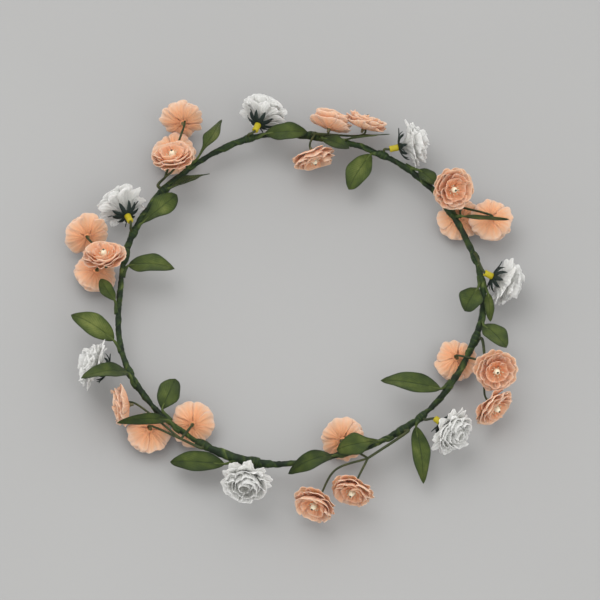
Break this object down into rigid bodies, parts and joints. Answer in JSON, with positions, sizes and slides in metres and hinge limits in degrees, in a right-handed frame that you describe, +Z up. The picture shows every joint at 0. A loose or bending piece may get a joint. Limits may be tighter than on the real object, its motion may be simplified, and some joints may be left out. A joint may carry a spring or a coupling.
{
  "type": "flower crown",
  "caption": "Head wreath of taped wire with forked sprigs of peach fabric flowers, white fabric flowers and green satin leaves.",
  "frame": {"origin": "middle of the head opening, in the plane of the ring wire", "axes": "+Z up out of the head opening as the crown lies on a table, +Y toward the back of the ring as pictured, +X to the right"},
  "size_m": [0.2307, 0.2352, 0.0318],
  "materials": {
    "core_steel": "drawn wire, hidden under the tape",
    "floral_tape": "waxed crepe tape, slightly shiny",
    "stem_wire": "thin green covering",
    "stopper": "satin",
    "sleeve": "satin, mustard yellow",
    "pistil": "matt, cream",
    "peach_fabric": "crinkled, pale at the edges",
    "white_fabric": "crinkled",
    "sepal": "stiffened, nearly black green",
    "leaf_satin": "satin with pressed veins"
  },
  "bodies": {
    "vine": {"core_wire": "core_steel", "tape_wrap": "floral_tape", "leaves_inner": "leaf_satin", "leaves_outer": "leaf_satin"},
    "sprig_a": {"sprig_a_wire": "stem_wire", "sprig_a_pistils": "pistil", "sprig_a_flower_1": "peach_fabric", "sprig_a_flower_2": "peach_fabric", "sprig_a_flower_3": "peach_fabric"},
    "sprig_b": {"sprig_b_wire": "stem_wire", "sprig_b_pistils": "pistil", "sprig_b_flower_1": "peach_fabric", "sprig_b_flower_2": "peach_fabric", "sprig_b_flower_3": "peach_fabric"},
    "sprig_c": {"sprig_c_wire": "stem_wire", "sprig_c_pistils": "pistil", "sprig_c_flower_1": "peach_fabric", "sprig_c_flower_2": "peach_fabric", "sprig_c_flower_3": "peach_fabric"},
    "sprig_d": {"sprig_d_wire": "stem_wire", "sprig_d_pistils": "pistil", "sprig_d_flower_1": "peach_fabric", "sprig_d_flower_2": "peach_fabric", "sprig_d_flower_3": "peach_fabric"},
    "sprig_e": {"sprig_e_wire": "stem_wire", "sprig_e_pistils": "pistil", "sprig_e_flower_1": "peach_fabric", "sprig_e_flower_2": "peach_fabric", "sprig_e_flower_3": "peach_fabric"},
    "sprig_f": {"sprig_f_wire": "stem_wire", "sprig_f_pistils": "pistil", "sprig_f_flower_1": "peach_fabric", "sprig_f_flower_2": "peach_fabric", "sprig_f_flower_3": "peach_fabric"},
    "sprig_g": {"sprig_g_wire": "stem_wire", "sprig_g_pistils": "pistil", "sprig_g_flower_1": "peach_fabric", "sprig_g_flower_2": "peach_fabric", "sprig_g_flower_3": "peach_fabric"},
    "white_a_stem_body": {"white_a_stem": "stem_wire"},
    "white_a_head_body": {"white_a_sepals": "sepal", "white_a_petals": "white_fabric"},
    "white_b_stem_body": {"white_b_stem": "stem_wire"},
    "white_b_head_body": {"white_b_sepals": "sepal", "white_b_petals": "white_fabric"},
    "white_c_stem_body": {"white_c_stem": "stem_wire"},
    "white_c_head_body": {"white_c_sepals": "sepal", "white_c_petals": "white_fabric"},
    "white_d_stem_body": {"white_d_stem": "stem_wire"},
    "white_d_head_body": {"white_d_sepals": "sepal", "white_d_petals": "white_fabric"},
    "white_e_stem_body": {"white_e_stem": "stem_wire"},
    "white_e_head_body": {"white_e_sepals": "sepal", "white_e_petals": "white_fabric"},
    "white_f_stem_body": {"white_f_stem": "stem_wire"},
    "white_f_head_body": {"white_f_sepals": "sepal", "white_f_petals": "white_fabric"},
    "white_g_stem_body": {"white_g_stem": "stem_wire"},
    "white_g_head_body": {"white_g_sepals": "sepal", "white_g_petals": "white_fabric"}
  },
  "joints": [
    {"name": "bend_sprig_a", "type": "hinge", "parent": "vine", "child": "sprig_a", "pos_m": [-0.06754, 0.06081, 0], "axis": [0.6567, 0.7542, 0], "range_deg": [-10, 18]},
    {"name": "bend_sprig_b", "type": "hinge", "parent": "vine", "child": "sprig_b", "pos_m": [-0.08624, 0.02311, 0], "axis": [0.1988, 0.98, 0], "range_deg": [-10, 18]},
    {"name": "bend_sprig_c", "type": "hinge", "parent": "vine", "child": "sprig_c", "pos_m": [-0.04587, -0.08275, 0], "axis": [-0.858, 0.5137, 0], "range_deg": [-10, 8]},
    {"name": "bend_sprig_d", "type": "hinge", "parent": "vine", "child": "sprig_d", "pos_m": [0.05208, -0.07437, 0], "axis": [-0.8302, -0.5575, 0], "range_deg": [-10, 15]},
    {"name": "bend_sprig_e", "type": "hinge", "parent": "vine", "child": "sprig_e", "pos_m": [0.08873, -0.02378, 0], "axis": [-0.3352, -0.9422, 0], "range_deg": [-10, 15]},
    {"name": "bend_sprig_f", "type": "hinge", "parent": "vine", "child": "sprig_f", "pos_m": [0.07666, 0.04979, 0], "axis": [0.5162, -0.8565, 0], "range_deg": [-12, 6]},
    {"name": "bend_sprig_g", "type": "hinge", "parent": "vine", "child": "sprig_g", "pos_m": [0.00811, 0.09272, 0], "axis": [0.9871, -0.1603, 0], "range_deg": [-4, 12]},
    {"name": "bend_white_a", "type": "hinge", "parent": "vine", "child": "white_a_stem_body", "pos_m": [-0.02442, 0.09115, 0], "axis": [0.957, 0.2901, 0], "range_deg": [-10, 6]},
    {"name": "spin_white_a", "type": "hinge", "parent": "white_a_stem_body", "child": "white_a_head_body", "pos_m": [-0.01917, 0.09862, 0.004], "axis": [0.3549, 0.9245, -0.1392], "continuous": true},
    {"name": "bend_white_b", "type": "hinge", "parent": "vine", "child": "white_b_stem_body", "pos_m": [-0.08237, 0.03667, 0], "axis": [0.3571, 0.9341, 0], "range_deg": [-10, 18]},
    {"name": "spin_white_b", "type": "hinge", "parent": "white_b_stem_body", "child": "white_b_head_body", "pos_m": [-0.08594, 0.0455, 0.004], "axis": [-0.3634, 0.895, -0.2588], "continuous": true},
    {"name": "bend_white_c", "type": "hinge", "parent": "vine", "child": "white_c_stem_body", "pos_m": [-0.0832, -0.04239, 0], "axis": [-0.3958, 0.9183, 0], "range_deg": [-10, 5]},
    {"name": "spin_white_c", "type": "hinge", "parent": "white_c_stem_body", "child": "white_c_head_body", "pos_m": [-0.09502, -0.04231, 0.003], "axis": [-0.9312, 0.3206, 0.1736], "continuous": true},
    {"name": "bend_white_d", "type": "hinge", "parent": "vine", "child": "white_d_stem_body", "pos_m": [-0.02125, -0.09205, 0], "axis": [-0.9865, 0.1638, 0], "range_deg": [-8, 18]},
    {"name": "spin_white_d", "type": "hinge", "parent": "white_d_stem_body", "child": "white_d_head_body", "pos_m": [-0.02446, -0.10112, 0.006], "axis": [-0.1073, -0.9274, 0.3584], "continuous": true},
    {"name": "bend_white_e", "type": "hinge", "parent": "vine", "child": "white_e_stem_body", "pos_m": [0.06137, -0.06698, 0], "axis": [-0.7303, -0.6832, 0], "range_deg": [-8, 18]},
    {"name": "spin_white_e", "type": "hinge", "parent": "white_e_stem_body", "child": "white_e_head_body", "pos_m": [0.0724, -0.07368, 0.004], "axis": [0.6679, -0.7038, 0.2419], "continuous": true},
    {"name": "bend_white_f", "type": "hinge", "parent": "vine", "child": "white_f_stem_body", "pos_m": [0.08934, 0.02228, 0], "axis": [0.3039, -0.9527, 0], "range_deg": [-10, 15]},
    {"name": "spin_white_f", "type": "hinge", "parent": "white_f_stem_body", "child": "white_f_head_body", "pos_m": [0.09902, 0.00866, 0.004], "axis": [0.8529, -0.2285, -0.4695], "continuous": true},
    {"name": "bend_white_g", "type": "hinge", "parent": "vine", "child": "white_g_stem_body", "pos_m": [0.04334, 0.0815, 0], "axis": [0.8936, -0.4488, 0], "range_deg": [-10, 15]},
    {"name": "spin_white_g", "type": "hinge", "parent": "white_g_stem_body", "child": "white_g_head_body", "pos_m": [0.05296, 0.08476, 0.003], "axis": [0.9768, 0.2076, 0.0523], "continuous": true}
  ]
}
